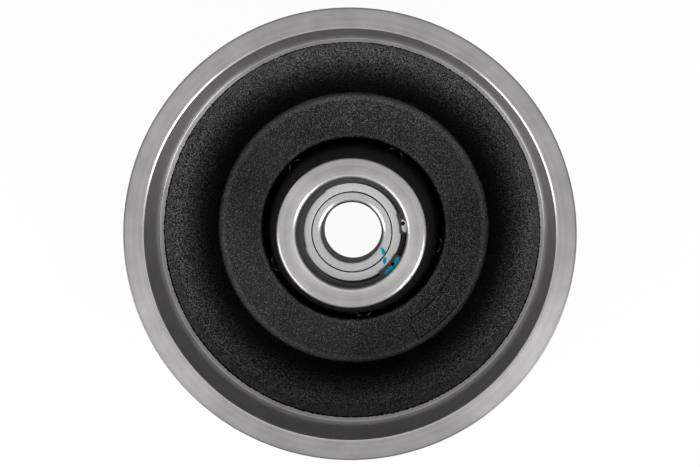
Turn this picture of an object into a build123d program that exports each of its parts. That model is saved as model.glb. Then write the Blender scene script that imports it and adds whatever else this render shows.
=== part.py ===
from build123d import *

import os
from math import cos, radians, sin

# A five-bolt brake drum with its hub boss, pressed-in wheel bearing and retaining ring.
# Lengths are in millimetres and angles in degrees.
# The Z axis is the drum's axis. Z = 0 is the wheel face, and +Z points at the open, inboard side.

# ---- Drum casting: rim and bowl ----
drum_height = 104.0  # from the wheel face to the open lip
friction_radius = 127.0  # the turned surface that the shoes rub on
friction_width = 49.1
friction_runout = 0.8  # corner radius where the turning tool stopped
lip_chamfer = 1.0
rim_wall = 12.6  # the band at the open lip, measured outwards from the friction surface
rim_band_height = 13.0
rim_step = 4.0  # height of the slope from the band down to the thinner wall
drum_wall = 8.6  # wall outside the friction surface, next to the band
cast_land = 3.2  # turned ledge left where the friction surface meets the rough bowl
wall_draft = 2.1  # taper of the walls, in degrees
bowl_floor = 7.4  # thickness of the bowl's floor at its lowest ring
bowl_corner = 25.0
floor_relief = 2.8  # the bowl's outside stays this far behind the wheel face

# ---- Drum casting: wheel flange ----
pad_radius = 91.2  # the thick pad that carries the wheel bolts
pad_thickness = 17.0
pad_slope = 3.4  # how far the pad's outer flank leans outwards
pad_edge_round = 3.5
pad_foot_round = 2.5
wheel_face_radius = 93.0
relief_round = 2.0
bolt_count = 5
bolt_circle_radius = 56.0
bolt_core_radius = 6.2  # core of an M14 x 1.5 thread
bolt_hole_depth = 23.0
bolt_countersink = 1.0
bolt_start_angle = 60.8

# ---- Drum casting: hub boss and spigot ----
boss_height = 70.5  # wheel face to the boss's turned end
boss_radius = 48.4
boss_edge_round = 2.5
boss_foot_cover = 3.84  # the boss's foot reaches this far outside the bolt circle
groove_floor = 11.0  # bottom of the ring-shaped groove around the boss
groove_width = 3.0
groove_round = 1.5
groove_lip_round = 1.4
groove_wall_lean = 0.7
spigot_radius = 33.2  # centres the wheel
spigot_height = 8.0
spigot_chamfer = 1.5
cap_seat_radius = 29.5  # the grease cap is pushed in here
cap_seat_depth = 11.0
cap_seat_chamfer = 0.8
nut_space_radius = 29.0  # clears the axle nut and its washer

# ---- Wheel bearing, double row ----
bearing_bore_radius = 19.5
bearing_outer_radius = 36.0
bearing_width = 37.0
bearing_seat_height = 19.0  # wheel face to the shoulder that the bearing stops on
bearing_corner = 0.9
bore_corner_round = 3.6  # clears the fillet of the stub axle
balls_per_row = 14
ball_gap = 2.02  # between neighbouring balls
pitch_shift = 0.15  # the balls run this far outside the middle of the section
row_offset = 7.6  # from the bearing's middle to each row
raceway_clearance = 0.1
pocket_clearance = 0.15
ring_edge = 0.4
cage_mouth = 3.4  # how far the cage reaches past the ball centres towards the bearing's middle
cage_back = 6.4  # and towards its end

# ---- Bearing seals ----
seal_seat_step = 0.7  # the seal's seat is cut this much deeper than the ring's shoulder
seal_seat_depth = 4.0
seal_recess = 0.3  # the seal lies this far under the bearing's end
seal_sheet = 0.9  # thickness of the steel case
seal_gap = 0.55  # open ring between the case and the inner ring
seal_round = 0.7
seal_edge_round = 0.4
lip_clearance = 0.15
lip_body = 1.2  # thickness of the rubber behind the case
lip_reach = 2.4  # how deep the sealing lip hangs
lip_edge = 0.8

# ---- Retaining ring ----
circlip_thickness = 2.5
circlip_clearance = 0.05  # axial play above the bearing
groove_clearance = 0.1  # extra groove height over the ring's thickness
groove_depth = 1.6  # radial depth of the ring's groove below the bearing bore
groove_radial_play = 0.2
bore_mouth_round = 1.9
circlip_cover = 2.9  # how far the ring reaches in over the bearing's end
lug_cover = 4.8  # and at its lugs and its widened back
circlip_offset = 1.1  # the ring's inside is off centre, so it thins towards its gap
circlip_gap_angle = -14.0  # direction of the gap
circlip_gap_half = 12.4
lug_middle_angle = -17.2  # midway between the lugs' roots, as one lug is longer than the other
lug_half_angle = 39.2
eye_angle = 23.8
eye_cover = 2.0  # the eyes' centres lie this far inside the bearing's edge
eye_radius = 1.3
back_angle = 161.0  # middle of the widened back
back_half_angle = 37.8
circlip_corner = 0.5

# ---- Places worked out from the sizes above ----
friction_end = drum_height - lip_chamfer - friction_width
land_height = friction_end - friction_runout
cast_radius = friction_radius - cast_land
lip_radius = friction_radius + rim_wall
bowl_bottom = floor_relief + bowl_floor
seat_z = bearing_seat_height
bearing_middle = seat_z + bearing_width / 2
bearing_top = seat_z + bearing_width
pitch_radius = (bearing_bore_radius + bearing_outer_radius) / 2 + pitch_shift
ball_radius = pitch_radius * sin(radians(180 / balls_per_row)) - ball_gap / 2
race_radius = ball_radius + raceway_clearance
inner_land_radius = pitch_radius - 0.75 * ball_radius
inner_shoulder_radius = pitch_radius - 0.345 * ball_radius
cage_inner_radius = pitch_radius - 0.23 * ball_radius
cage_outer_radius = pitch_radius + 0.27 * ball_radius
outer_rib_radius = pitch_radius + 0.4 * ball_radius
outer_shoulder_radius = pitch_radius + 0.77 * ball_radius
seal_seat_radius = outer_shoulder_radius + seal_seat_step
seal_face = bearing_width / 2 - seal_recess
seal_inner_radius = inner_shoulder_radius + seal_gap
seal_back = seal_face - seal_sheet
circlip_bottom = bearing_top + circlip_clearance
circlip_outer_radius = bearing_outer_radius + groove_depth - groove_radial_play
circlip_bore_radius = bearing_outer_radius - circlip_cover
lug_inner_radius = bearing_outer_radius - lug_cover
eye_circle_radius = bearing_outer_radius - eye_cover

os.makedirs("parts", exist_ok=True)


def tangent(angle):
    """Sideways run for one unit of height on a wall that leans by angle."""
    return sin(radians(angle)) / cos(radians(angle))


def polar(radius, angle):
    """Point at a radius and an angle about the drum's axis."""
    return (radius * cos(radians(angle)), radius * sin(radians(angle)))


def save(piece, name):
    """Label a finished piece and write it as its own STEP file."""
    piece.label = name
    export_step(piece, f"parts/{name}.step")


# ---- The drum: one casting, then turned and drilled ----
inner_wall_top = cast_radius + (drum_height - land_height) * tangent(wall_draft)
inner_wall_foot = cast_radius - (land_height - bowl_bottom) * tangent(wall_draft)
outer_wall_top = friction_radius + drum_wall
outer_wall_height = drum_height - rim_band_height - rim_step
outer_wall_foot = outer_wall_top - (outer_wall_height - floor_relief) * tangent(wall_draft)
boss_foot_radius = bolt_circle_radius + boss_foot_cover
groove_outer_radius = boss_foot_radius + groove_width

# Each corner of the raw section is its radius, its height and the size of its rounding.
casting_section = [
    (lip_radius, drum_height, 0.8),
    (lip_radius, drum_height - rim_band_height, 1.5),
    (outer_wall_top, outer_wall_height, 4.0),
    (outer_wall_foot, floor_relief, bowl_corner + bowl_floor),
    (wheel_face_radius + floor_relief, floor_relief, relief_round),
    (wheel_face_radius, 0, 0),
    (spigot_radius, 0, 0),
    (spigot_radius, -spigot_height, 0),
    (nut_space_radius, -spigot_height, 0),
    (nut_space_radius, boss_height, 0),
    (boss_radius, boss_height, boss_edge_round),
    (boss_foot_radius, groove_floor, groove_round),
    (groove_outer_radius, groove_floor, groove_round),
    (groove_outer_radius + groove_wall_lean, pad_thickness, groove_lip_round),
    (pad_radius, pad_thickness, pad_edge_round),
    (pad_radius + pad_slope, bowl_bottom, pad_foot_round),
    (inner_wall_foot, bowl_bottom, bowl_corner),
    (inner_wall_top, drum_height, 0),
]

with BuildPart() as drum:
    with BuildSketch(Plane.XZ):
        with BuildLine():
            FilletPolyline(
                *[(radius, height) for radius, height, _ in casting_section],
                radius=[rounding for _, _, rounding in casting_section],
                close=True,
            )
        make_face()
    revolve(axis=Axis.Z)

    # Friction surface, its run-out corner and the ledge at the foot of it.
    with BuildSketch(Plane.XZ):
        with BuildLine():
            FilletPolyline(
                (inner_wall_foot, land_height),
                (friction_radius, land_height),
                (friction_radius, drum_height - lip_chamfer),
                (friction_radius + lip_chamfer, drum_height),
                (inner_wall_foot, drum_height),
                radius=[0, friction_runout, 0, 0, 0],
                close=True,
            )
        make_face()
    revolve(axis=Axis.Z, mode=Mode.SUBTRACT)

    # Bearing seat with the retaining ring's groove and a rounded mouth.
    groove_low = bearing_top - groove_clearance / 2
    groove_high = circlip_bottom + circlip_thickness + groove_clearance
    with BuildSketch(Plane.XZ):
        with BuildLine():
            Polyline(
                (0, seat_z),
                (bearing_outer_radius, seat_z),
                (bearing_outer_radius, groove_low),
                (bearing_outer_radius + groove_depth, groove_low),
                (bearing_outer_radius + groove_depth, groove_high),
                (bearing_outer_radius, groove_high),
                (bearing_outer_radius, boss_height),
                (0, boss_height),
                close=True,
            )
        make_face()
    revolve(axis=Axis.Z, mode=Mode.SUBTRACT)
    bore_rims = drum.edges().filter_by(GeomType.CIRCLE).filter_by(
        lambda edge: abs(edge.radius - bearing_outer_radius) < 1e-3
    )
    fillet(bore_rims.sort_by(Axis.Z)[-1], radius=bore_mouth_round)

    # Seat for the grease cap in the end of the spigot.
    with BuildSketch(Plane.XZ):
        with BuildLine():
            Polyline(
                (0, -spigot_height),
                (cap_seat_radius + cap_seat_chamfer, -spigot_height),
                (cap_seat_radius, cap_seat_chamfer - spigot_height),
                (cap_seat_radius, cap_seat_depth - spigot_height),
                (0, cap_seat_depth - spigot_height),
                close=True,
            )
        make_face()
    revolve(axis=Axis.Z, mode=Mode.SUBTRACT)

    spigot_end = drum.edges().filter_by(GeomType.CIRCLE).group_by(Axis.Z)[0].sort_by(SortBy.RADIUS)[-1]
    chamfer(spigot_end, length=spigot_chamfer)

    # Tapped wheel-bolt holes. They stop inside the boss, so each breaks out into the groove as a D.
    with BuildSketch(Plane.XY):
        with PolarLocations(bolt_circle_radius, bolt_count, start_angle=bolt_start_angle):
            Circle(bolt_core_radius)
    extrude(amount=bolt_hole_depth, mode=Mode.SUBTRACT)
    hole_mouths = (
        drum.edges()
        .filter_by(GeomType.CIRCLE)
        .filter_by(lambda edge: abs(edge.radius - bolt_core_radius) < 1e-3)
        .group_by(Axis.Z)[0]
    )
    chamfer(hole_mouths, length=bolt_countersink)

save(drum.part, "drum")


def row_height(side, along):
    """Height of a point of the bearing: along is measured from its middle to the end on that side."""
    return bearing_middle + side * along


def end_section(side, corners):
    """Section of a bearing piece, given as radius, distance from the middle and rounding."""
    with BuildSketch(Plane.XZ) as section:
        with BuildLine():
            FilletPolyline(
                *[(radius, row_height(side, along)) for radius, along, _ in corners],
                radius=[rounding for _, _, rounding in corners],
                close=True,
            )
        make_face()
    return section.sketch


def track_section(side):
    """Section of the ball track of one row."""
    with BuildSketch(Plane.XZ) as section:
        with Locations((pitch_radius, row_height(side, row_offset))):
            Circle(race_radius)
    return section.sketch


# ---- Bearing outer ring: both tracks, and a stepped seat for the seal at each end ----
half_width = bearing_width / 2
seat_start = half_width - seal_seat_depth

with BuildPart() as bearing_outer_ring:
    with BuildSketch(Plane.XZ):
        with BuildLine():
            Polyline(
                (outer_rib_radius, bearing_middle),
                (bearing_outer_radius, bearing_middle),
                (bearing_outer_radius, bearing_top - bearing_corner),
                (bearing_outer_radius - bearing_corner, bearing_top),
                (seal_seat_radius + ring_edge, bearing_top),
                (seal_seat_radius, bearing_top - ring_edge),
                (seal_seat_radius, row_height(1, seat_start)),
                (outer_shoulder_radius, row_height(1, seat_start)),
                (outer_shoulder_radius, row_height(1, row_offset)),
                (outer_rib_radius, row_height(1, row_offset)),
                close=True,
            )
        make_face()
        mirror(about=Plane.XZ.offset(-bearing_middle))
    revolve(axis=Axis.Z)
    revolve(track_section(1), axis=Axis.Z, mode=Mode.SUBTRACT)
    revolve(track_section(-1), axis=Axis.Z, mode=Mode.SUBTRACT)

save(bearing_outer_ring.part, "bearing_outer_ring")

# ---- Everything that the bearing has twice, once at each end ----
for side, end_name in ((1, "inboard"), (-1, "outboard")):
    with BuildPart() as inner_ring:
        ring_corners = [
            (bearing_bore_radius, 0, 0),
            (inner_land_radius, 0, ring_edge),
            (inner_land_radius, row_offset, 0),
            (inner_shoulder_radius, row_offset, 0),
            (inner_shoulder_radius, half_width, ring_edge),
            (bearing_bore_radius, half_width, bore_corner_round),
        ]
        revolve(end_section(side, ring_corners), axis=Axis.Z)
        revolve(track_section(side), axis=Axis.Z, mode=Mode.SUBTRACT)
    save(inner_ring.part, f"inner_ring_{end_name}")

    with BuildPart() as cage:
        cage_corners = [
            (cage_inner_radius, row_offset - cage_mouth, 0),
            (cage_outer_radius, row_offset - cage_mouth, 0),
            (cage_outer_radius, row_offset + cage_back, ring_edge),
            (cage_inner_radius, row_offset + cage_back, ring_edge),
        ]
        revolve(end_section(side, cage_corners), axis=Axis.Z)
        with Locations((0, 0, row_height(side, row_offset))):
            with PolarLocations(pitch_radius, balls_per_row):
                Sphere(ball_radius + pocket_clearance, mode=Mode.SUBTRACT)
    save(cage.part, f"cage_{end_name}")

    for index in range(balls_per_row):
        ball_x, ball_y = polar(pitch_radius, index * 360 / balls_per_row)
        with BuildPart() as ball:
            with Locations((ball_x, ball_y, row_height(side, row_offset))):
                Sphere(ball_radius)
        save(ball.part, f"ball_{end_name}_{index + 1:02d}")

    with BuildPart() as seal_case:
        case_corners = [
            (seal_seat_radius, seat_start, 0),
            (seal_seat_radius, seal_face, seal_round),
            (seal_inner_radius, seal_face, seal_edge_round),
            (seal_inner_radius, seal_back, 0),
            (seal_seat_radius - seal_sheet, seal_back, 0),
            (seal_seat_radius - seal_sheet, seat_start, 0),
        ]
        revolve(end_section(side, case_corners), axis=Axis.Z)
    save(seal_case.part, f"seal_case_{end_name}")

    lip_radius_inside = inner_shoulder_radius + lip_clearance
    with BuildPart() as seal_lip:
        lip_corners = [
            (seal_seat_radius - seal_sheet - lip_clearance, seal_back, 0),
            (seal_seat_radius - seal_sheet - lip_clearance, seal_back - lip_body, 0),
            (seal_inner_radius + lip_edge, seal_back - lip_body, 0),
            (lip_radius_inside + lip_edge, seal_back - lip_reach, 0),
            (lip_radius_inside, seal_back - lip_reach, 0),
            (lip_radius_inside, seal_back - lip_body, 0),
            (seal_inner_radius + lip_edge, seal_back, 0),
        ]
        revolve(end_section(side, lip_corners), axis=Axis.Z)
    save(seal_lip.part, f"seal_lip_{end_name}")


def ring_sector(inner_radius, outer_radius, middle, half_angle):
    """Flat piece of a ring, centred on one direction."""
    start = middle - half_angle
    end = middle + half_angle
    with BuildSketch() as sector:
        with BuildLine():
            CenterArc((0, 0), outer_radius, start, 2 * half_angle)
            CenterArc((0, 0), inner_radius, start, 2 * half_angle)
            Line(polar(inner_radius, start), polar(outer_radius, start))
            Line(polar(inner_radius, end), polar(outer_radius, end))
        make_face()
    return sector.sketch


# ---- Retaining ring: a stamped spring-steel ring with two eyed lugs and a widened back ----
with BuildPart() as circlip:
    with BuildSketch(Plane.XY.offset(circlip_bottom)) as stamping:
        Circle(circlip_outer_radius)
        with Locations(polar(circlip_offset, circlip_gap_angle)):
            Circle(circlip_bore_radius, mode=Mode.SUBTRACT)
        add(ring_sector(lug_inner_radius, circlip_outer_radius, lug_middle_angle, lug_half_angle))
        add(ring_sector(lug_inner_radius, circlip_outer_radius, back_angle, back_half_angle))
        gap_inner_radius = lug_inner_radius - groove_depth
        gap_outer_radius = circlip_outer_radius + groove_depth
        gap = ring_sector(gap_inner_radius, gap_outer_radius, circlip_gap_angle, circlip_gap_half)
        add(gap, mode=Mode.SUBTRACT)
        inner_corners = stamping.vertices().filter_by(
            lambda corner: Vector(corner.X, corner.Y).length < lug_inner_radius + circlip_corner
        )
        fillet(inner_corners, radius=circlip_corner)
        for turn in (eye_angle, -eye_angle):
            with Locations(polar(eye_circle_radius, circlip_gap_angle + turn)):
                Circle(eye_radius, mode=Mode.SUBTRACT)
    extrude(amount=circlip_thickness)

save(circlip.part, "circlip")
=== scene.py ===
# %% [markdown]
# # A brake drum on a pale bench
#
# A brake drum is one iron casting, sprayed black and then turned bright wherever it works. The wheel
# bearing sits in its boss behind a sprung retaining ring. The shapes come from the CAD model, so this
# lesson is mostly about finishes: rough black casting, turned iron, ground steel, dull spring steel,
# and a few dabs of paint that are thin shapes of their own.

# %% Load the drum
import bpy
import numpy as np
from mathutils import Matrix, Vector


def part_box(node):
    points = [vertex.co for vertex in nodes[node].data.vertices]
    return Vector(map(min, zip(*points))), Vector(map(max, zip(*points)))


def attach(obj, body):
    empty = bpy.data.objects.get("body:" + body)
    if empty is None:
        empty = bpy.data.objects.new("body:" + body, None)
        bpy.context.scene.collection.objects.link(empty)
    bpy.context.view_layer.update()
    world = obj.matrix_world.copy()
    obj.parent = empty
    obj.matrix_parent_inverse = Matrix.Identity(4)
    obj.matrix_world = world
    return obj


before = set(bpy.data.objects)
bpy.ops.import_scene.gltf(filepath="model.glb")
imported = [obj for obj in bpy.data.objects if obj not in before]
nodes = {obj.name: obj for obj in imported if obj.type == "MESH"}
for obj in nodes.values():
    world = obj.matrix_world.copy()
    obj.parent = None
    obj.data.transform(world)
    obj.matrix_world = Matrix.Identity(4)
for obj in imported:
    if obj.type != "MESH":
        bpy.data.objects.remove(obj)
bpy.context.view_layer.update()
print("pieces from the CAD model:", len(nodes))

# %% [markdown]
# ## Sizes that the finishes need
#
# A finish changes where the lathe stopped, so the materials need a few sizes of the drum, in
# millimetres, with Z up from the wheel face and the open side at the top. What a piece's box can tell is
# read from the CAD model. The rest lies inside the pieces, so it is written here, once.

# %% Sizes read from the CAD model, in millimetres
MM = 0.001


def top_of(node):
    """Highest point of a node."""
    return round(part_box(node)[1][2] / MM, 2)


drum_low, drum_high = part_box("drum")
DRUM_HEIGHT = top_of("drum")
LIP_RADIUS = round(drum_high[0] / MM, 2)
SPIGOT_HEIGHT = round(-drum_low[2] / MM, 2)
BEARING_TOP = top_of("inner_ring_inboard")
SEAL_TOP = top_of("seal_case_inboard")
RING_TOP = top_of("circlip")
print("drum", DRUM_HEIGHT, "high, lip radius", LIP_RADIUS, "spigot", SPIGOT_HEIGHT)
print("tops of the bearing, its seal and the retaining ring:", BEARING_TOP, SEAL_TOP, RING_TOP)

# %% Sizes inside the pieces, in millimetres
FRICTION_RADIUS = 127.0
LAND_HEIGHT = 53.1  # the turned ledge at the foot of the friction surface
CAST_RADIUS = 123.8  # the rough bowl begins here
RIM_INSIDE = 120.0  # only the rim lies further out
LIP_DEPTH = 0.75  # how far the turning reaches down outside the lip
MIDFLOOR = 7.1  # a height inside the iron of the bowl's floor
MIDWALL_FOOT, MIDWALL_LEAN = 103.4, 1.2  # a line inside the iron of the bowl's wall
PAD_HEIGHT = 17.0
PAD_RADIUS = 91.2
BOSS_HEIGHT = 70.5
BOSS_RADIUS = 48.4
BOSS_ROUND = 2.5
BORE_MOUTH = 37.9  # widest place of the bore, at its round mouth
BORE_FLOOR = 19.0
GROOVE_INNER = 59.8
GROOVE_OUTER = 62.8
WHEEL_FACE_RADIUS = 93.0
SPIGOT_RADIUS = 33.2
RING_BORE = 19.5  # radius of the inner ring's bore
RING_ROUND = 3.6
EYE_DISTANCE = 34.0  # from the axis to the eyes of the retaining ring
EYE_CLEAR = 1.35  # no paint lies nearer to an eye's middle
BOLT_CIRCLE = 56.0
BOLT_RADIUS = 6.2
BOLT_COUNT = 5
FIRST_BOLT = 60.8  # degrees
BOLT_DEPTH = 23.0
print("bolts every", 360 / BOLT_COUNT, "degrees")

# %% [markdown]
# ## The camera
#
# The camera looks almost straight down the drum's axis from 0.7 m above the open lip. It stands a
# little up and to the right, so the boss seems to lean away from the middle. A small lens shift puts the
# drum back in the middle of the picture, as when a wider picture is cut to its subject. The two small
# angles become one matrix, whose columns are the camera's own right, up and back directions, so nothing
# depends on the order in which a camera's angles are applied.

# %% Camera
LENS_MM = 58.98
SENSOR_MM = 36.0
LENS_SHIFT = (-0.0402, 0.0082)
CAMERA_TILT = 3.83  # degrees about X
CAMERA_TURN = -0.21  # degrees about Y
CAMERA_PLACE = (0.0200, 0.0456, 0.8074)

camera_data = bpy.data.cameras.new("camera")
camera_data.lens = LENS_MM
camera_data.sensor_width = SENSOR_MM
camera_data.clip_start = 0.01
camera_data.clip_end = 50.0
camera_data.shift_x, camera_data.shift_y = LENS_SHIFT
camera = bpy.data.objects.new("camera", camera_data)
bpy.context.scene.collection.objects.link(camera)

tilt, turn = np.radians(CAMERA_TILT), np.radians(CAMERA_TURN)
about_x = np.array([[1, 0, 0], [0, np.cos(tilt), -np.sin(tilt)], [0, np.sin(tilt), np.cos(tilt)]])
about_y = np.array([[np.cos(turn), 0, np.sin(turn)], [0, 1, 0], [-np.sin(turn), 0, np.cos(turn)]])
placing = np.eye(4)
placing[:3, :3] = (about_x @ about_y).T
placing[:3, 3] = CAMERA_PLACE
camera.matrix_world = Matrix(placing.tolist())
bpy.context.scene.camera = camera
print("camera at", placing[:3, 3])

# %% [markdown]
# ## Light
#
# Turned iron shows whatever stands around it. Two wide softboxes stand beside the drum, on the near
# side, so every 45 degree chamfer that faces them flashes white and the far wall of the bowl catches
# their light.

# %% Softboxes
def softbox(name, bearing, height, distance, size, strength):
    """A rectangle of light that faces the drum. It stands at distance along the compass bearing, measured
    anticlockwise from +X, with its middle at a height above the lip. Its power is strength (the brightness
    that a mirror would show) times pi times its area, because an area lamp shines from one side only."""
    lamp = bpy.data.lights.new(name, "AREA")
    lamp.shape = "RECTANGLE"
    lamp.size, lamp.size_y = size
    lamp.energy = strength * np.pi * size[0] * size[1]
    box = bpy.data.objects.new(name, lamp)
    bpy.context.scene.collection.objects.link(box)
    angle = np.radians(bearing)
    back = np.array([np.cos(angle) * distance, np.sin(angle) * distance, height])
    back = back / np.linalg.norm(back)
    right = np.array([-np.sin(angle), np.cos(angle), 0.0])
    up = np.cross(back, right)
    place = np.eye(4)
    place[:3, 0], place[:3, 1], place[:3, 2] = right, up, back
    place[:3, 3] = (np.cos(angle) * distance, np.sin(angle) * distance, DRUM_HEIGHT * MM + height)
    box.matrix_world = Matrix(place.tolist())


softbox("softbox_left", bearing=211, height=0.85, distance=1.5, size=(1.15, 1.50), strength=3.6)
softbox("softbox_right", bearing=323, height=0.95, distance=1.5, size=(1.00, 1.70), strength=4.4)

# %% [markdown]
# ## The sky
#
# The rest of the light is an even sky. It lights the drum as a dark grey one would, so the lamps still
# give it form, but the camera and every reflection see it white. That is what gives the flat turned
# faces their quiet, pale tone. Light Path tells the kinds of ray apart.

# %% Sky
SKY_GREY = 0.30
world = bpy.data.worlds.new("studio")
bpy.context.scene.world = world
world.use_nodes = True
sky = world.node_tree
sky.nodes.clear()
sky_out = sky.nodes.new("ShaderNodeOutputWorld")
grey_sky = sky.nodes.new("ShaderNodeBackground")
grey_sky.inputs["Color"].default_value = (SKY_GREY, SKY_GREY, SKY_GREY, 1)
white_sky = sky.nodes.new("ShaderNodeBackground")
white_sky.inputs["Color"].default_value = (1, 1, 1, 1)
sky_ray = sky.nodes.new("ShaderNodeLightPath").outputs
mirrored = sky.nodes.new("ShaderNodeMath")
mirrored.operation = "MAXIMUM"
sky.links.new(sky_ray["Is Glossy Ray"], mirrored.inputs[0])
sky.links.new(sky_ray["Is Transmission Ray"], mirrored.inputs[1])
shown = sky.nodes.new("ShaderNodeMath")
shown.operation = "MAXIMUM"
sky.links.new(sky_ray["Is Camera Ray"], shown.inputs[0])
sky.links.new(mirrored.outputs[0], shown.inputs[1])
sky_mix = sky.nodes.new("ShaderNodeMixShader")
sky.links.new(shown.outputs[0], sky_mix.inputs[0])
sky.links.new(grey_sky.outputs[0], sky_mix.inputs[1])
sky.links.new(white_sky.outputs[0], sky_mix.inputs[2])
sky.links.new(sky_mix.outputs[0], sky_out.inputs["Surface"])
bpy.context.scene.view_settings.view_transform = "Standard"
print("sky grey as a light:", SKY_GREY)

# %% [markdown]
# ## The bench
#
# The drum stands on its spigot, on a white bench. Seen straight down, the bench is the whole
# background. A plain white surface would print as light grey, so most of what the camera sees of it
# is a glow of strength 1, and the rest is real paint that still takes the drum's soft shadow.

# %% Bench
BENCH_HALF = 6.0  # metres
BENCH_GREY = 0.8


def bench_corners(half, height):
    """A square of four corners at plus and minus half, at one height."""
    corners = np.array([(-half, -half), (half, -half), (half, half), (-half, half)])
    return np.column_stack([corners, np.full(4, height)])


bench_data = bpy.data.meshes.new("bench")
bench_data.from_pydata(bench_corners(BENCH_HALF, -SPIGOT_HEIGHT * MM).tolist(), [], [(0, 1, 2, 3)])
bench = bpy.data.objects.new("bench", bench_data)
bpy.context.scene.collection.objects.link(bench)

bench_paint = bpy.data.materials.new("bench_paint")
bench_paint.use_nodes = True
tree = bench_paint.node_tree
tree.nodes.clear()
bench_out = tree.nodes.new("ShaderNodeOutputMaterial")
matt = tree.nodes.new("ShaderNodeBsdfDiffuse")
matt.inputs["Color"].default_value = (BENCH_GREY, BENCH_GREY, BENCH_GREY, 1)
glow = tree.nodes.new("ShaderNodeEmission")
glow.inputs["Strength"].default_value = 1.0
blend = tree.nodes.new("ShaderNodeMixShader")
tree.links.new(matt.outputs[0], blend.inputs[1])
tree.links.new(glow.outputs[0], blend.inputs[2])
tree.links.new(blend.outputs[0], bench_out.inputs["Surface"])
bench_data.materials.append(bench_paint)
print("bench", 2 * BENCH_HALF, "m wide,", SPIGOT_HEIGHT, "mm under the wheel face")

# %% [markdown]
# ## Small tools for materials
#
# Every finish here is a recipe of nodes. It could be clicked together by hand, but written out it reads
# like a sentence, once a few helpers hide the wiring. The first ones start a material with one shader,
# set a socket or wire it, and add a Math node.

# %% Start a material, fill a socket, add a Math node
def start_material(name):
    """An empty material with one Principled shader wired to its output. Returns the material, its tree
    and the shader."""
    material = bpy.data.materials.new(name)
    material.use_nodes = True
    tree = material.node_tree
    tree.nodes.clear()
    output = tree.nodes.new("ShaderNodeOutputMaterial")
    shader = tree.nodes.new("ShaderNodeBsdfPrincipled")
    tree.links.new(shader.outputs[0], output.inputs["Surface"])
    return material, tree, shader


def feed(tree, socket, value):
    """Set a socket to a number or colour, or wire another socket into it."""
    if isinstance(value, bpy.types.NodeSocket):
        tree.links.new(value, socket)
    else:
        socket.default_value = value


def calc(tree, operation, *values):
    """A Math node on one, two or three numbers or sockets."""
    node = tree.nodes.new("ShaderNodeMath")
    node.operation = operation
    for socket, value in zip(node.inputs, values):
        feed(tree, socket, value)
    return node.outputs[0]


def length(tree, x, y):
    """sqrt(x^2 + y^2)."""
    return calc(tree, "SQRT", calc(tree, "ADD", calc(tree, "MULTIPLY", x, x), calc(tree, "MULTIPLY", y, y)))


# %% [markdown]
# ## Where a point lies
#
# A lathe works round an axis, so a finish depends on how far a point is from the axis and how high it
# is. Object coordinates are used, so a pattern stays fixed to its piece when the piece turns. A mask is
# 1 in one place and 0 elsewhere. Masks are multiplied where both have to hold, and the largest is taken
# where either is enough.

# %% Places and masks
def position(tree):
    """Object coordinates as sockets, then the distance from the axis, the height and the angle."""
    coordinates = tree.nodes.new("ShaderNodeTexCoord").outputs["Object"]
    parts = tree.nodes.new("ShaderNodeSeparateXYZ")
    tree.links.new(coordinates, parts.inputs[0])
    x, y, z = parts.outputs
    return coordinates, length(tree, x, y), z, calc(tree, "ARCTAN2", y, x)


def above(tree, value, limit):
    """1 where value is more than limit, else 0."""
    return calc(tree, "GREATER_THAN", value, limit)


def below(tree, value, limit):
    """1 where value is less than limit, else 0."""
    return calc(tree, "LESS_THAN", value, limit)


def both(tree, *masks):
    """Product of masks: 1 where all of them are 1."""
    result = masks[0]
    for mask in masks[1:]:
        result = calc(tree, "MULTIPLY", result, mask)
    return result


def either(tree, *masks):
    """Largest of masks: 1 where any of them is 1."""
    result = masks[0]
    for mask in masks[1:]:
        result = calc(tree, "MAXIMUM", result, mask)
    return result


def zone(tree, radius, height, inner=None, outer=None, low=None, high=None):
    """1 between two radii and two heights in millimetres. A limit that is left out is open."""
    tests = ((above, radius, inner), (below, radius, outer), (above, height, low), (below, height, high))
    return both(tree, *[test(tree, value, limit * MM) for test, value, limit in tests if limit is not None])


def elsewhere(tree, mask):
    """1 where a mask is 0."""
    return calc(tree, "SUBTRACT", 1.0, mask)


# %% [markdown]
# ## Unevenness, blends and relief
#
# Noise breaks up an even surface. A map range picks the part of the noise that matters, and a blend
# turns it into colours or numbers. Bump lets grain catch the light with no new faces, so it is kept for
# grain that is too fine to be a shape.

# %% Noise, blends and bump
def noise(tree, coordinates, size_mm, detail=2.0, roughness=0.5):
    """Noise whose lumps are about size_mm across, from 0 to 1."""
    node = tree.nodes.new("ShaderNodeTexNoise")
    node.inputs["Scale"].default_value = 1.0 / (size_mm * MM)
    node.inputs["Detail"].default_value = detail
    node.inputs["Roughness"].default_value = roughness
    tree.links.new(coordinates, node.inputs["Vector"])
    return node.outputs["Fac"]


def spread(tree, value, low, high, to_low, to_high):
    """Map a range of values to another range, clamped at both ends."""
    node = tree.nodes.new("ShaderNodeMapRange")
    feed(tree, node.inputs["Value"], value)
    for name, number in zip(("From Min", "From Max", "To Min", "To Max"), (low, high, to_low, to_high)):
        feed(tree, node.inputs[name], number)
    return node.outputs["Result"]


def fade(tree, value, start_mm, end_mm):
    """0 at one distance, 1 at the other and a straight line between."""
    return spread(tree, value, start_mm * MM, end_mm * MM, 0, 1)


def tint(tree, factor, dark, light):
    """Blend between two colours by a factor."""
    node = tree.nodes.new("ShaderNodeMix")
    node.data_type = "RGBA"
    feed(tree, node.inputs["Factor"], factor)
    feed(tree, node.inputs["A"], dark)
    feed(tree, node.inputs["B"], light)
    return node.outputs["Result"]


def tint_number(tree, factor, low, high):
    """Blend between two numbers or sockets by a factor."""
    low_part = calc(tree, "MULTIPLY", low, calc(tree, "SUBTRACT", 1.0, factor))
    return calc(tree, "ADD", low_part, calc(tree, "MULTIPLY", high, factor))


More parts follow.
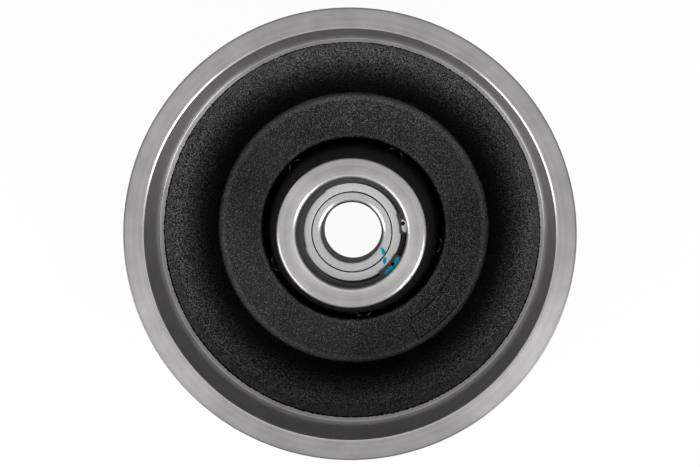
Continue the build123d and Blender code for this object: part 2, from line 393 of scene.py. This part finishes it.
def bump(tree, height, depth_mm, under=None):
    """Bump whose full height is depth_mm. It can stand on another bump's normal."""
    node = tree.nodes.new("ShaderNodeBump")
    node.inputs["Strength"].default_value = 1.0
    node.inputs["Distance"].default_value = depth_mm * MM
    feed(tree, node.inputs["Height"], height)
    if under is not None:
        tree.links.new(under, node.inputs["Normal"])
    return node.outputs["Normal"]


def grey(level):
    """A neutral colour."""
    return (level, level, level, 1.0)


def greys(tree, factor, levels):
    """Blend between two greys by a factor."""
    return tint(tree, factor, grey(levels[0]), grey(levels[1]))


# %% [markdown]
# ## The glow of the bench
#
# With the helpers at hand, the bench can say where it glows: only to the camera and in mirrors, and not
# under the drum. The glow fades out beneath the rim, so the drum's soft shadow shows there, while the
# open bore stays white. The ring between them, which can be seen through the bolt holes, is painted
# near black as painted shade, so the holes look deep and shaded.

# %% Where the bench glows
GLOW = 0.96  # share of glow in the bench's look where it is fullest
GLOW_FADE = (110.0, 155.0)  # the glow grows between these radii
BORE_VIEW = 26.0  # what shows through the bore
HOLES_VIEW = 85.0  # what can show through the bolt holes
# Painted shade: the ring of the bench seen through the bolt holes is near black.
BENCH_SHADE_GREY = 0.02

tree = bench_paint.node_tree
ray = tree.nodes.new("ShaderNodeLightPath").outputs
bench_radius, bench_height = position(tree)[1:3]
beside = fade(tree, bench_radius, *GLOW_FADE)
open_places = either(tree, beside, zone(tree, bench_radius, bench_height, outer=BORE_VIEW))
under = zone(tree, bench_radius, bench_height, inner=BORE_VIEW, outer=HOLES_VIEW)
mirrors = either(tree, ray["Is Glossy Ray"], ray["Is Transmission Ray"])
seen = either(tree, ray["Is Camera Ray"], both(tree, mirrors, beside))
tree.links.new(calc(tree, "MULTIPLY", both(tree, seen, open_places), GLOW), blend.inputs[0])
tree.links.new(greys(tree, under, (BENCH_GREY, BENCH_SHADE_GREY)), matt.inputs["Color"])
print("nodes in the bench's paint:", len(tree.nodes))

# %% [markdown]
# ## Where the lathe has been
#
# The casting is black all over, and then it is turned at the lip, on the friction surface and its
# ledge, on the boss's end and bore, and on the wheel's face and spigot at the back. The bolt holes are
# drilled. One mask, made of tests on radius and height, tells the two finishes apart. The edge of the
# ledge is ragged, because the rough casting under it is.

# %% Mask of turned faces
MARGIN = 0.1  # how far a mask reaches past its face
RAGGED_MM, RAGGED_BY = 1.3, 0.4  # size of the ledge's ragged bites, and how far they go in or out


def bolt_distance(tree, radius, angle):
    """Distance from the nearest bolt hole's axis. The direction is folded into one hole's share of the
    turn, with the hole in its middle, so one hole stands for all of them."""
    pitch = 2 * np.pi / BOLT_COUNT
    from_first = calc(tree, "SUBTRACT", angle, np.radians(FIRST_BOLT))
    turn_on = calc(tree, "ADD", from_first, 4 * np.pi + pitch / 2)
    folded = calc(tree, "SUBTRACT", calc(tree, "MODULO", turn_on, pitch), pitch / 2)
    along = calc(tree, "MULTIPLY", radius, calc(tree, "COSINE", folded))
    along = calc(tree, "SUBTRACT", along, BOLT_CIRCLE * MM)
    across = calc(tree, "MULTIPLY", radius, calc(tree, "SINE", folded))
    return length(tree, along, across)


def turned_mask(tree, coordinates, radius, height, angle):
    """1 where the drum is turned or drilled, 0 where it is cast."""
    bites = noise(tree, coordinates, RAGGED_MM, 3.0)
    ragged = spread(tree, bites, 0.3, 0.7, -RAGGED_BY * MM, RAGGED_BY * MM)
    edge = calc(tree, "ADD", (CAST_RADIUS + 0.2) * MM, ragged)
    rim = both(tree, above(tree, radius, edge),
               zone(tree, radius, height, outer=FRICTION_RADIUS + 2.0, low=LAND_HEIGHT - 0.05))
    lip = zone(tree, radius, height, inner=RIM_INSIDE, low=DRUM_HEIGHT - LIP_DEPTH)
    boss = zone(tree, radius, height, outer=BOSS_RADIUS + MARGIN, low=BOSS_HEIGHT - BOSS_ROUND)
    bore = zone(tree, radius, height, outer=BORE_MOUTH, low=BORE_FLOOR - MARGIN)
    spigot = zone(tree, radius, height, outer=SPIGOT_RADIUS + 0.4, high=BORE_FLOOR + MARGIN)
    face = zone(tree, radius, height, outer=WHEEL_FACE_RADIUS + 0.2, high=MARGIN)
    hole = zone(tree, bolt_distance(tree, radius, angle), height,
                outer=BOLT_RADIUS + 0.25, high=BOLT_DEPTH + MARGIN)
    return either(tree, rim, lip, boss, bore, spigot, face, hole)


# %% [markdown]
# ## The places of the casting
#
# Sprayed paint isn't the same all over: it is smooth and glossy on the boss's flank. The other places
# are painted light and shade: the trough of the bowl, the groove round the boss and the strip just under
# the turned ledge are painted shade, near black, and the outer edge of the bolt pad and its brow over the
# groove get painted highlights, lighter greys. Each place gets a mask first, so that the recipe after it
# can give each its own greys. Most masks fade in over a millimetre or more, because spray, light and
# shade have no sharp border.

# %% Masks of the casting
def cast_zones(tree, radius, height):
    """Masks of the inside of the bowl, the bolt pad's top, its outer edge, its brow over the groove, the
    boss's flank, and the places out of the painted shade of the trough, the groove and the strip under the
    ledge. A limit inside the iron tells the inside from the outside: radius = foot + lean times the height,
    up to the friction radius."""
    top = PAD_HEIGHT + 0.5
    limit = calc(tree, "ADD", MIDWALL_FOOT * MM, calc(tree, "MULTIPLY", height, MIDWALL_LEAN))
    midwall = calc(tree, "MINIMUM", FRICTION_RADIUS * MM, limit)
    inside = both(tree, zone(tree, radius, height, low=MIDFLOOR), below(tree, radius, midwall))
    pad = both(tree, fade(tree, radius, PAD_RADIUS + 3.8, PAD_RADIUS + 1.3),
               fade(tree, height, PAD_HEIGHT - 4.0, PAD_HEIGHT - 1.0),
               zone(tree, radius, height, inner=GROOVE_OUTER, high=top))
    edge = both(tree, fade(tree, radius, PAD_RADIUS - 3.4, PAD_RADIUS - 0.2),
                fade(tree, radius, PAD_RADIUS + 4.0, PAD_RADIUS + 1.8),
                zone(tree, radius, height, low=PAD_HEIGHT - 5.2, high=top))
    brow = both(tree, fade(tree, radius, GROOVE_OUTER + 0.2, GROOVE_OUTER + 0.8),
                fade(tree, radius, GROOVE_OUTER + 4.0, GROOVE_OUTER + 1.7),
                zone(tree, radius, height, low=PAD_HEIGHT - 1.2, high=top))
    flank = both(tree, inside, zone(tree, radius, height, outer=GROOVE_INNER + 0.4, low=PAD_HEIGHT - 2.0))
    # Painted shade: the groove and the strip just under the ledge, like the trough, get a near black.
    groove = both(tree, inside, zone(tree, radius, height, outer=GROOVE_OUTER + 0.1), elsewhere(tree, flank))
    shade = both(tree, inside, fade(tree, height, LAND_HEIGHT - 3.6, LAND_HEIGHT - 2.3),
                 zone(tree, radius, height, inner=CAST_RADIUS - 1.8))
    out_of_painted_shade = both(tree, fade(tree, height, 9.5, 25.0), elsewhere(tree, shade), elsewhere(tree, groove))
    return inside, pad, edge, brow, flank, out_of_painted_shade


# %% [markdown]
# ## The cast skin
#
# Black paint over sand grain is darkest in the pits and greyer on the peaks, so the same noise gives
# both the relief and the greys; inside the bowl the peaks' light grey also stands in for glints, as
# painted highlights. On the steep wall the grain is drawn out in height, because the pattern drags the
# sand as it is pulled. The bolt pad is flatter, so its grain is shallow. An image of real grain would
# repeat itself and would need unwrapping, while noise fills any shape at its true size.

# %% Black casting
FINE_MM, GRAIN_MM, LUMP_MM, DRIFT_MM = 0.6, 0.9, 9.0, 55.0  # sizes of the casting's unevenness
GRAIN_DEPTH, LUMP_DEPTH = 2.4, 0.6
DRAWN_GRAIN = 0.34  # height is shortened by this inside the bowl, so the grain is that much taller
# The first grey is painted shade in the trough; the last is the grey of painted glints on the pad.
TROUGH_SHADE_GREY, FLANK_GREY, PAD_GLINT = 0.001, 0.006, 0.28
# The peaks' light grey is grain and partly painted glints.
BOWL_GRAIN_AND_GLINT_GREYS = (0.004, 0.29)  # in the pits and on the peaks of the grain
OUTSIDE_GREYS = (0.012, 0.040)
PAD_GREYS = (0.006, 0.066)
# Painted highlights: lighter greys over the pad's outer edge and its brow over the groove.
PAD_EDGE_HIGHLIGHT_GREYS = (0.08, 0.24)
BROW_HIGHLIGHT_GREYS = (0.06, 0.20)


def drawn_out(tree, coordinates, inside):
    """Object coordinates whose height is shortened inside the bowl, so that grain on them is tall there."""
    factors = tree.nodes.new("ShaderNodeCombineXYZ")
    factors.inputs["X"].default_value = 1.0
    factors.inputs["Y"].default_value = 1.0
    tree.links.new(tint_number(tree, inside, 1.0, DRAWN_GRAIN), factors.inputs["Z"])
    drawn = tree.nodes.new("ShaderNodeVectorMath")
    drawn.operation = "MULTIPLY"
    tree.links.new(coordinates, drawn.inputs[0])
    tree.links.new(factors.outputs[0], drawn.inputs[1])
    return drawn.outputs[0]


def cast_skin(tree, shader, coordinates, radius, height):
    """Black sprayed casting on the given Principled shader. The trough of the bowl is painted shade, near
    black, and its wall gets lighter greys upwards. The paint is smooth and glossy on the boss's flank and
    greyer on the flat bolt pad, with painted glints, and the pad's edge and brow get painted highlights."""
    inside, pad, edge, brow, flank, out_of_painted_shade = cast_zones(tree, radius, height)
    rough_face = elsewhere(tree, flank)
    drawn = drawn_out(tree, coordinates, inside)
    fine = noise(tree, drawn, FINE_MM, 1.0)
    grain = noise(tree, drawn, GRAIN_MM, 0.5)
    lumps = noise(tree, coordinates, LUMP_MM)
    drift = noise(tree, coordinates, DRIFT_MM, 1.0)

    # Relief: lumps under grain, and shallow grain on the pad.
    relief = calc(tree, "ADD", calc(tree, "MULTIPLY", grain, 0.6), calc(tree, "MULTIPLY", fine, 0.4))
    pad_depth = spread(tree, drift, 0.40, 0.60, 0.15, 0.60)
    depth = calc(tree, "MULTIPLY", tint_number(tree, pad, 1.0, pad_depth), rough_face)
    soft = bump(tree, calc(tree, "MULTIPLY", lumps, rough_face), LUMP_DEPTH)
    grained = bump(tree, calc(tree, "MULTIPLY", relief, depth), GRAIN_DEPTH, soft)
    tree.links.new(grained, shader.inputs["Normal"])

    # Colour: each place has its own greys between the pits and the peaks. The trough, groove and strip
    # under the ledge are painted shade; the pad's glints, edge and brow are painted highlights.
    speck = spread(tree, relief, 0.46, 0.60, 0.0, 1.0)
    bowl = tint(tree, out_of_painted_shade, grey(TROUGH_SHADE_GREY), greys(tree, speck, BOWL_GRAIN_AND_GLINT_GREYS))
    skin = tint(tree, inside, greys(tree, speck, OUTSIDE_GREYS), bowl)
    patch = tint_number(tree, spread(tree, drift, 0.40, 0.60, 0.6, 1.0), 0.4, speck)
    # Painted glints: light grey specks on the pad where the fine noise peaks.
    glint = spread(tree, fine, 0.61, 0.68, 0, 1)
    flat = tint(tree, glint, greys(tree, patch, PAD_GREYS), grey(PAD_GLINT))
    # Painted highlights on the pad's outer edge and, at half strength, on its brow.
    skin = tint(tree, edge, tint(tree, pad, skin, flat), greys(tree, speck, PAD_EDGE_HIGHLIGHT_GREYS))
    skin = tint(tree, calc(tree, "MULTIPLY", brow, 0.5), skin, greys(tree, speck, BROW_HIGHLIGHT_GREYS))
    tree.links.new(tint(tree, flank, skin, grey(FLANK_GREY)), shader.inputs["Base Color"])

    # Gloss: dull on the grain, bright on the smooth flank.
    rough = spread(tree, grain, 0.3, 0.7, 0.38, 0.50)
    tree.links.new(tint_number(tree, flank, rough, 0.28), shader.inputs["Roughness"])
    gloss = tint_number(tree, inside, 0.4, calc(tree, "MULTIPLY", out_of_painted_shade, 0.6))
    gloss = tint_number(tree, flank, tint_number(tree, pad, gloss, 0.2), 0.5)
    tree.links.new(gloss, shader.inputs["Specular IOR Level"])


# %% [markdown]
# ## The turned skin
#
# Bare iron from the lathe is a metal with rings cut by the tool, which spread a highlight into a fan
# across the rings. Anisotropic shading gives the fan, and noise in one dimension gives the rings. Each
# face was cut by its own tool and gets its own share of the plain iron's brightness, which is painted
# light and shade: the chamfer, the friction surface and the bore's mouth are drawn brighter as painted
# highlights, and the lip, the ledge, the bore and the bolt holes darker as painted shade.

# %% Turned iron
IRON_DARK, IRON_LIGHT = (0.300, 0.294, 0.288, 1), (0.420, 0.413, 0.407, 1)
# Painted dark reflection: the last millimetre of the lip is drawn dark grey.
BRINK_DARK_REFLECTION_GREY = 0.16  # the last millimetre of the lip
TOOL_RING_MM, TOOL_BAND_MM, IRON_CLOUD_MM = 0.35, 4.0, 18.0
# Painted light and shade: how much brighter or darker each turned place is drawn, as a share of the
# plain iron, for how it catches or misses the lamps.
LIGHT_AND_SHADE_SHARE = {"lip": -0.13, "chamfer": 0.30, "friction_wall": 0.28, "land": -0.15, "mouth": 0.40, "bore": -0.73,
         "thread": -0.55}


def turned_zones(tree, radius, height):
    """Masks of the turned places that LIGHT_AND_SHADE_SHARE names."""
    chamfer_foot, land_top, mouth_foot = DRUM_HEIGHT - 1.2, LAND_HEIGHT + 1.4, BOSS_HEIGHT - 2.1
    lip = zone(tree, radius, height, inner=RIM_INSIDE, low=DRUM_HEIGHT - 0.1)
    rim_top = zone(tree, radius, height, inner=RIM_INSIDE, low=chamfer_foot)
    return {
        "lip": lip,
        "chamfer": both(tree, rim_top, elsewhere(tree, lip)),
        "friction_wall": zone(tree, radius, height, inner=RIM_INSIDE, low=land_top, high=chamfer_foot),
        "land": zone(tree, radius, height, inner=RIM_INSIDE, low=LAND_HEIGHT - 3.1, high=land_top),
        "mouth": zone(tree, radius, height, outer=BORE_MOUTH + 0.2, low=mouth_foot),
        "bore": zone(tree, radius, height, outer=BORE_MOUTH + 0.2, low=BORE_FLOOR, high=mouth_foot),
        "thread": zone(tree, radius, height, inner=BOLT_CIRCLE - 7.0, outer=BOLT_CIRCLE + 8.0,
                       low=10.0, high=BOLT_DEPTH + 1.0),
    }


def ring_noise(tree, path, size_mm, detail=2.0):
    """Noise in one dimension, along a path, so that it makes rings."""
    node = tree.nodes.new("ShaderNodeTexNoise")
    node.noise_dimensions = "1D"
    node.inputs["Scale"].default_value = 1.0 / (size_mm * MM)
    node.inputs["Detail"].default_value = detail
    tree.links.new(path, node.inputs["W"])
    return node.outputs["Fac"]


def turned_skin(tree, shader, coordinates, radius, height):
    """Turned iron: rings of the tool in radius on flat faces and in height on walls."""
    path = calc(tree, "ADD", radius, height)
    rings = ring_noise(tree, path, TOOL_RING_MM, 3.0)
    bands = calc(tree, "MULTIPLY", ring_noise(tree, path, TOOL_BAND_MM), 0.5)
    clouds = calc(tree, "MULTIPLY", noise(tree, coordinates, IRON_CLOUD_MM, 3.0, 0.6), 0.5)
    uneven = spread(tree, calc(tree, "ADD", bands, clouds), 0.35, 0.65, 0, 1)
    # Painted dark reflection on the lip's outer edge.
    brink = fade(tree, radius, LIP_RADIUS - 1.3, LIP_RADIUS - 0.7)
    # Painted light and shade: each turned place's share scales the iron's colour.
    lit_share = 1.0
    for place, mask in turned_zones(tree, radius, height).items():
        lit_share = calc(tree, "ADD", lit_share, calc(tree, "MULTIPLY", mask, LIGHT_AND_SHADE_SHARE[place]))
    worked = tree.nodes.new("ShaderNodeVectorMath")
    worked.operation = "SCALE"
    iron = tint(tree, uneven, IRON_DARK, IRON_LIGHT)
    tree.links.new(tint(tree, brink, iron, grey(BRINK_DARK_REFLECTION_GREY)), worked.inputs[0])
    tree.links.new(lit_share, worked.inputs["Scale"])
    tree.links.new(worked.outputs[0], shader.inputs["Base Color"])
    shader.inputs["Metallic"].default_value = 1.0
    shader.inputs["Anisotropic"].default_value = 0.8
    shader.inputs["Anisotropic Rotation"].default_value = 0.25
    shader.inputs["Roughness"].default_value = 0.31
    tree.links.new(bump(tree, rings, 0.012), shader.inputs["Normal"])


# %% [markdown]
# ## One finish for the whole drum
#
# The casting is one solid, so its two skins can't be materials of two pieces. A Mix Shader joins them,
# with the mask of turned faces as its factor.

# %% The drum's finish
drum_finish, tree, cast_shader = start_material("drum")
coordinates, radius, height, angle = position(tree)
cast_skin(tree, cast_shader, coordinates, radius, height)
turned_shader = tree.nodes.new("ShaderNodeBsdfPrincipled")
turned_skin(tree, turned_shader, coordinates, radius, height)
join = tree.nodes.new("ShaderNodeMixShader")
tree.links.new(turned_mask(tree, coordinates, radius, height, angle), join.inputs[0])
tree.links.new(cast_shader.outputs[0], join.inputs[1])
tree.links.new(turned_shader.outputs[0], join.inputs[2])
output = [n for n in tree.nodes if n.type == "OUTPUT_MATERIAL"][0]
tree.links.new(join.outputs[0], output.inputs["Surface"])
print("nodes in the drum's finish:", len(tree.nodes))

# %% [markdown]
# ## Steel, rubber and nylon of the bearing
#
# The rings are ground bright and the retaining ring is phosphated nearly black. The outer ring's end,
# deep in the gap under the retaining ring, is painted shade, a near black. The seal's case is pale and
# matt, the lips are black rubber, the cages are moulded nylon and the balls are polished. Each has its own
# small variation, because a perfectly even colour looks like plastic.

# %% One recipe for small pieces
def metal(name, dark, light, rough, grain_mm, depth_mm, anisotropic=0.0, metallic=1.0, gloss=0.5):
    """A metal, or with metallic 0 a paint, rubber or nylon. Its colour and roughness wander between their
    two values, with a fine bump. Steel with a grinding direction keeps one roughness."""
    material, tree, shader = start_material(name)
    coordinates = tree.nodes.new("ShaderNodeTexCoord").outputs["Object"]
    grain = noise(tree, coordinates, grain_mm, 3.0, 0.6)
    tree.links.new(tint(tree, spread(tree, grain, 0.3, 0.7, 0, 1), dark, light), shader.inputs["Base Color"])
    if rough[0] == rough[1]:
        shader.inputs["Roughness"].default_value = rough[0]
    else:
        tree.links.new(spread(tree, grain, 0.3, 0.7, rough[0], rough[1]), shader.inputs["Roughness"])
    shader.inputs["Metallic"].default_value = metallic
    shader.inputs["Specular IOR Level"].default_value = gloss
    shader.inputs["Anisotropic"].default_value = anisotropic
    shader.inputs["Anisotropic Rotation"].default_value = 0.25
    tree.links.new(bump(tree, grain, depth_mm), shader.inputs["Normal"])
    return material


# %% Finishes of the bearing
bearing_steel = metal("bearing_steel", grey(0.43), grey(0.48), rough=(0.26, 0.26), grain_mm=1.5,
                      depth_mm=0.001, anisotropic=0.7)
ball_steel = metal("ball_steel", grey(0.52), grey(0.56), rough=(0.05, 0.09), grain_mm=2.0, depth_mm=0.001)
# Painted shade: the outer ring, deep under the retaining ring, is near black.
dark_steel = metal("dark_steel", grey(0.006), grey(0.010), rough=(0.42, 0.55), grain_mm=0.8,
                   depth_mm=0.02, metallic=0.6)
spring_steel = metal("spring_steel", grey(0.04), grey(0.065), rough=(0.38, 0.5), grain_mm=0.7,
                     depth_mm=0.02, metallic=0.6)
seal_steel = metal("seal_steel", grey(0.45), grey(0.52), rough=(0.42, 0.5), grain_mm=1.0, depth_mm=0.01)
seal_rubber = metal("seal_rubber", grey(0.015), grey(0.025), rough=(0.5, 0.6), grain_mm=0.6,
                    depth_mm=0.02, metallic=0.0)
polyamide = metal("polyamide", (0.50, 0.46, 0.36, 1), (0.58, 0.54, 0.43, 1), rough=(0.45, 0.55),
                  grain_mm=1.2, depth_mm=0.02, metallic=0.0)

# %% A finish for every node
finishes = {
    "drum": drum_finish,
    "bearing_outer_ring": dark_steel,
    "circlip": spring_steel,
    "inner_ring": bearing_steel,
    "seal_case": seal_steel,
    "seal_lip": seal_rubber,
    "cage": polyamide,
    "ball": ball_steel,
}
for name, piece in nodes.items():
    kind = next(key for key in finishes if name.startswith(key))
    piece.data.materials.clear()
    piece.data.materials.append(finishes[kind])
print("finished nodes:", len(nodes))

# %% [markdown]
# ## Paint marks
#
# An inspector has dabbed paint on the bearing: white at one lug of the retaining ring, blue on the
# other lug and across the inner ring and the seal. The marks could be colours in a material, but brushed
# paint is a film with a soft edge that lies on the metal, so each mark is a thin dome stretched between
# two edge lines.

# %% Add a piece that rides on a body
def add_piece(name, points, faces, finish, body, smooth):
    """A mesh of points in millimetres and faces, with one finish, which rides on a body."""
    mesh = bpy.data.meshes.new(name)
    mesh.from_pydata((points * MM).tolist(), [], faces)
    mesh.polygons.foreach_set("use_smooth", np.full(len(faces), smooth))
    mesh.materials.append(finish)
    piece = bpy.data.objects.new(name, mesh)
    bpy.context.scene.collection.objects.link(piece)
    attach(piece, body)
    print(name, "faces", len(faces))


# %% A mark as a thin dome
def film_faces(steps, strips):
    """Faces of a closed film made of two grids, the top and then the base: the top's quads, the base's
    quads turned over, and a wall round the rim."""
    count = steps * strips
    i, j = np.meshgrid(np.arange(steps - 1), np.arange(strips - 1), indexing="ij")
    first = (i * strips + j).ravel()
    quads = np.column_stack([first, first + 1, first + strips + 1, first + strips])
    rim = np.concatenate([np.arange(strips - 1), np.arange(steps - 1) * strips + strips - 1,
                          count - 1 - np.arange(strips - 1), np.arange(steps - 1, 0, -1) * strips])
    after = np.roll(rim, -1)
    wall = np.column_stack([after, rim, rim + count, after + count])
    return np.concatenate([quads, quads[:, ::-1] + count, wall])


FILM_SUNK = 0.02  # how far a film reaches into its face, so that no gap shows


def mark(name, left, right, face, body, finish, thick_mm=0.12, strips=12):
    """Dome between two edges. With u along the edges and v from -1 to 1 between them, a point lies at
    middle(u) plus v times half the gap times sqrt(1 - |2u - 1|^8). Its height is face(distance from the
    axis) plus thick times (1 - v^4) times the same rounding of the ends."""
    steps = len(left)
    u = np.linspace(0, 1, steps)
    v = np.linspace(-1, 1, strips)
    ends = np.sqrt(np.clip(1 - np.abs(2 * u - 1) ** 8, 0.01, 1))
    middle, half = (left + right) / 2, (right - left) / 2
    flat = middle[:, None, :] + half[:, None, :] * (ends[:, None] * v[None, :])[:, :, None]
    ground = face(np.linalg.norm(flat, axis=2))
    rise = thick_mm * (1 - v[None, :] ** 4) * ends[:, None]
    top = np.dstack([flat, ground + rise])
    base = np.dstack([flat, ground - FILM_SUNK])
    points = np.concatenate([top.reshape(-1, 3), base.reshape(-1, 3)])
    faces = film_faces(steps, strips)
    middle_way = middle[steps // 2 + 1] - middle[steps // 2 - 1]
    turning = half[steps // 2][0] * middle_way[1] - half[steps // 2][1] * middle_way[0]
    if turning < 0:
        faces = faces[:, ::-1]
    add_piece(name, points, faces.tolist(), finish, body, smooth=True)


# %% [markdown]
# ## Paints and painted faces
#
# Paint is rough, with no metal in it, and where it was brushed on thinly its colour varies more. It lies
# on whatever is under it: the retaining ring and the seal are flat, and the mark on the inner ring
# follows the round corner of its bore.

# %% Paints and faces
def paint(name, dark, light, rough, grain_mm, gloss):
    """Brushed paint: a rough film with no metal in it and little gloss."""
    return metal(name, dark, light, rough, grain_mm, depth_mm=0.02, metallic=0.0, gloss=gloss)


def flat_face(height):
    """A face at one height."""
    return lambda distance: np.full(distance.shape, height)


def ring_face(distance):
    """The inner ring's end with its round corner: BEARING_TOP - r + sqrt(r^2 - (bore + r - distance)^2)."""
    inwards = np.clip(RING_BORE + RING_ROUND - distance, 0, RING_ROUND)
    return BEARING_TOP - RING_ROUND + np.sqrt(RING_ROUND ** 2 - inwards ** 2)


white_paint = paint("white_paint", grey(0.90), grey(0.95), (0.35, 0.5), 0.5, 0.2)
blue_paint = paint("blue_paint", (0.0, 0.50, 0.70, 1), (0.0, 0.58, 0.80, 1), (0.4, 0.5), 0.5, 0.05)
thin_paint = paint("thin_paint", (0.0, 0.46, 0.70, 1), (0.0, 0.58, 0.86, 1), (0.4, 0.5), 0.8, 0.05)
print("paints:", white_paint.name, blue_paint.name, thin_paint.name)

# %% [markdown]
# ## Marks on the lugs
#
# A lug of the retaining ring is a piece of a ring with a round eye for the pliers. So the edges of its
# mark are given as distances from the axis at a few directions, and the inner edge passes round the
# eye, which stays open.

# %% Marks on the two lugs
def lug_edges(rows, eye, steps=72):
    """Inner and outer edge of a mark on a lug, as arrays of points. Each row gives a direction in degrees
    and the two distances there, and eye is the eye's direction. The inner edge moves out round the eye:
    there its distance is the eye's plus sqrt(clearance^2 - (distance * turn from the eye)^2)."""
    directions, inner, outer = np.array(rows).T
    angle = np.linspace(directions[0], directions[-1], steps)
    near = np.interp(angle, directions, inner)
    far = np.interp(angle, directions, outer)
    beside = EYE_DISTANCE * np.radians(angle - eye)
    hole = EYE_DISTANCE + np.sqrt(np.clip(EYE_CLEAR ** 2 - beside ** 2, 0, None))
    near = np.where(np.abs(beside) < EYE_CLEAR, np.maximum(near, hole), near)
    way = np.column_stack([np.cos(np.radians(angle)), np.sin(np.radians(angle))])
    return way * near[:, None], way * far[:, None]


left, right = lug_edges([(0.2, 34.4, 35.5), (1.5, 33.3, 35.9), (3.8, 32.8, 35.9), (6.9, 32.8, 35.9),
                         (12.2, 32.9, 35.9), (12.6, 33.1, 35.2), (13.4, 33.4, 35.0), (14.6, 34.2, 34.6)],
                        eye=9.8)
mark("paint_white", left, right, flat_face(RING_TOP), "drum", white_paint)
left, right = lug_edges([(-52.0, 34.5, 35.4), (-50.0, 33.7, 35.9), (-45.5, 33.6, 35.9), (-41.6, 33.9, 35.9),
                         (-34.5, 34.2, 35.9), (-33.2, 33.8, 35.9), (-29.2, 33.5, 35.9), (-27.6, 34.4, 35.5)],
                        eye=-37.8)
mark("paint_blue_lug", left, right, flat_face(RING_TOP), "drum", thin_paint)

# %% [markdown]
# ## Marks on the inner ring and the seal
#
# The blue brush ran on across the inner ring and the seal and left a speck beside them. These marks are
# free shapes, so each edge is a few points in millimetres from the axis, spaced evenly before the dome
# is stretched between them.

# %% Marks on the ring and the seal
def resample(points, count):
    """Points at even steps along a polyline."""
    points = np.array(points, float)
    lengths = np.concatenate([[0], np.cumsum(np.linalg.norm(np.diff(points, axis=0), axis=1))])
    at = np.linspace(0, lengths[-1], count)
    return np.column_stack([np.interp(at, lengths, points[:, k]) for k in range(2)])


left = resample([(19.03, -9.50), (18.75, -10.67), (19.10, -12.1), (19.43, -13.37), (19.90, -14.9),
                 (20.23, -15.75)], 40)
right = resample([(19.89, -9.60), (20.50, -10.4), (21.1, -11.17), (21.8, -12.0), (22.3, -12.9),
                  (22.42, -13.15)], 40)
mark("paint_blue_ring", left, right, ring_face, "inner_race", blue_paint)
left = resample([(21.60, -16.29), (20.8, -17.2), (20.10, -18.49), (20.3, -19.9), (20.71, -20.99)], 40)
right = resample([(22.40, -16.25), (22.7, -17.5), (22.7, -18.6), (22.5, -19.8), (21.7, -21.1)], 40)
mark("paint_blue_seal", left, right, flat_face(SEAL_TOP), "drum", thin_paint)
left = resample([(27.1, -15.35), (27.35, -15.6)], 20)
right = resample([(27.65, -14.9), (27.95, -15.3)], 20)
mark("paint_speck", left, right, flat_face(SEAL_TOP), "drum", blue_paint)

# %% [markdown]
# ## The frame of the date mark
#
# A casting carries its date in a small frame on the bolt pad, scribed into the sand. Here the frame is
# left blank. It is a thin raised bead: two arcs and one straight end, painted near black as the shade
# of the scribed lines.

# %% A bead and an arc
BEAD_SUNK = 0.03  # how far a bead reaches into its face


def bead(name, centre_line, width_mm, rise_mm, height_mm, finish):
    """Half-round bead on a flat face along a line: at the angle a from 0 to pi its section is
    (half the width times cos a, rise times sin a)."""
    line = np.array(centre_line, float)
    way = np.gradient(line, axis=0)
    way /= np.linalg.norm(way, axis=1)[:, None]
    side = np.column_stack([-way[:, 1], way[:, 0]])
    a = np.linspace(0, np.pi, 9)
    flat = line[:, None, :] + side[:, None, :] * (width_mm / 2 * np.cos(a))[None, :, None]
    z = np.broadcast_to(height_mm - BEAD_SUNK + rise_mm * np.sin(a), flat.shape[:2])
    points = np.dstack([flat, z]).reshape(-1, 3)
    steps, strips = flat.shape[:2]
    i, j = np.meshgrid(np.arange(steps - 1), np.arange(strips), indexing="ij")
    after = (j + 1) % strips
    faces = np.column_stack([(i * strips + j).ravel(), ((i + 1) * strips + j).ravel(),
                             ((i + 1) * strips + after).ravel(), (i * strips + after).ravel()]).tolist()
    faces = faces + [list(range(strips)), list(range((steps - 1) * strips, steps * strips))[::-1]]
    add_piece(name, points, faces, finish, "drum", smooth=False)


def arc(distance, start, end, steps=60):
    """Points of an arc about the axis, from one direction to another, in degrees."""
    turn = np.radians(np.linspace(start, end, steps))
    return np.column_stack([np.cos(turn), np.sin(turn)]) * distance


# %% Blank date frame
FRAME_INNER, FRAME_OUTER = 74.0, 89.0  # distances of the two arcs from the axis
FRAME_END = -59.4  # direction of the straight end, in degrees
INNER_START, OUTER_START = -20.0, -34.0  # where the arcs run out, in degrees
BEAD_WIDTH, BEAD_RISE = 0.7, 0.2
# Painted shade: the bead is near black, as the shade in scribed lines.
date_frame_shade_bead = paint("date_frame_shade_bead", grey(0.001), grey(0.002), (0.5, 0.6), 0.8, 0.02)
end_line = np.linspace(arc(FRAME_INNER, FRAME_END, FRAME_END, 1)[0],
                       arc(FRAME_OUTER - 0.1, FRAME_END, FRAME_END, 1)[0], 20)
for name, line in (("date_frame_inner", arc(FRAME_INNER, FRAME_END, INNER_START)),
                   ("date_frame_outer", arc(FRAME_OUTER, FRAME_END, OUTER_START)),
                   ("date_frame_end", end_line)):
    bead(name, line, BEAD_WIDTH, BEAD_RISE, PAD_HEIGHT, date_frame_shade_bead)
